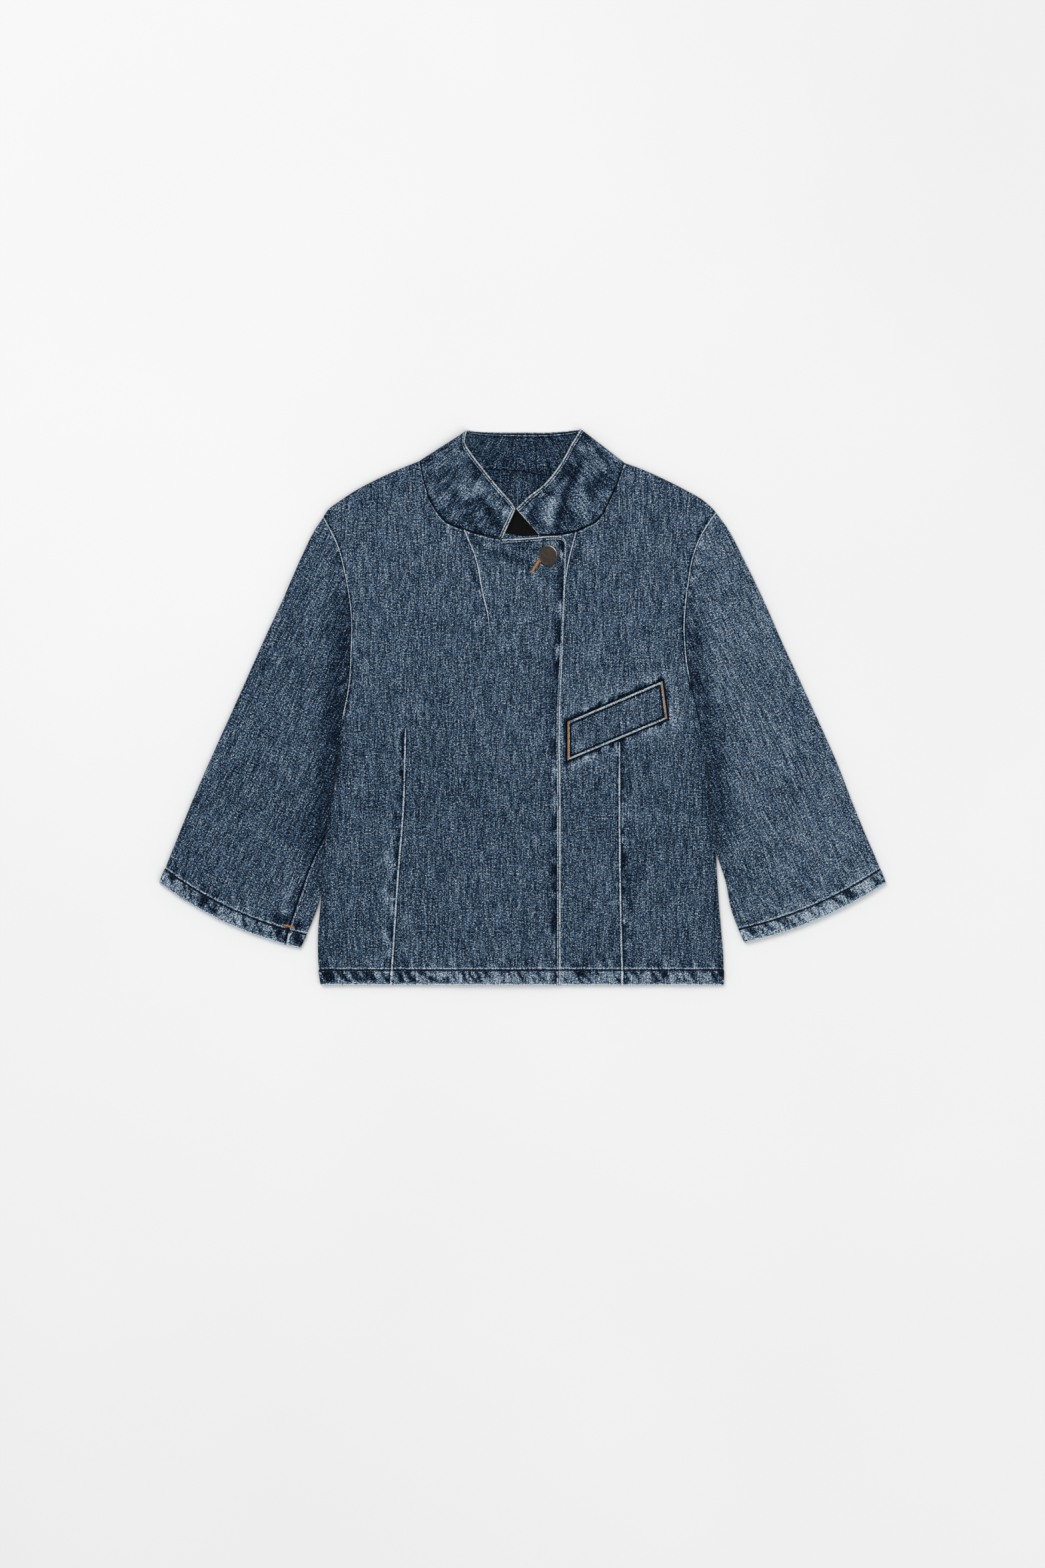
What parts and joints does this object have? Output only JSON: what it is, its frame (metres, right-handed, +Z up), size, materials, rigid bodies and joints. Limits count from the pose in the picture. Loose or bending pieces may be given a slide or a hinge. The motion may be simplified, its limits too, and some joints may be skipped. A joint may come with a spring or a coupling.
{
  "type": "denim jacket",
  "caption": "Cropped denim jacket with a stand collar, wide cropped sleeves, an asymmetric lap with a button, darted fronts and a slanted pocket welt, laid flat.",
  "frame": {"origin": "on the surface that the jacket lies on, under the middle of its outline", "axes": "+X across the body to the viewer's right, towards the wearer's left cuff; +Y from hem to collar; +Z up off the surface"},
  "size_m": [0.7846, 0.6005, 0.0206],
  "materials": {
    "denim": "washed mid blue denim, warp streaks, seams and edges rubbed pale",
    "denim_inside": "unrubbed darker denim",
    "label": "plain black woven tape",
    "button": "dark antique brass, rim rubbed bright"
  },
  "bodies": {
    "root": {"back": "denim", "front_right": "denim", "front_left": "denim", "sleeve_right": "denim", "sleeve_left": "denim", "collar": "denim", "back_neck_facing": "denim_inside", "neck_label": "label", "pocket_welt": "denim", "button": "button"}
  },
  "joints": []
}
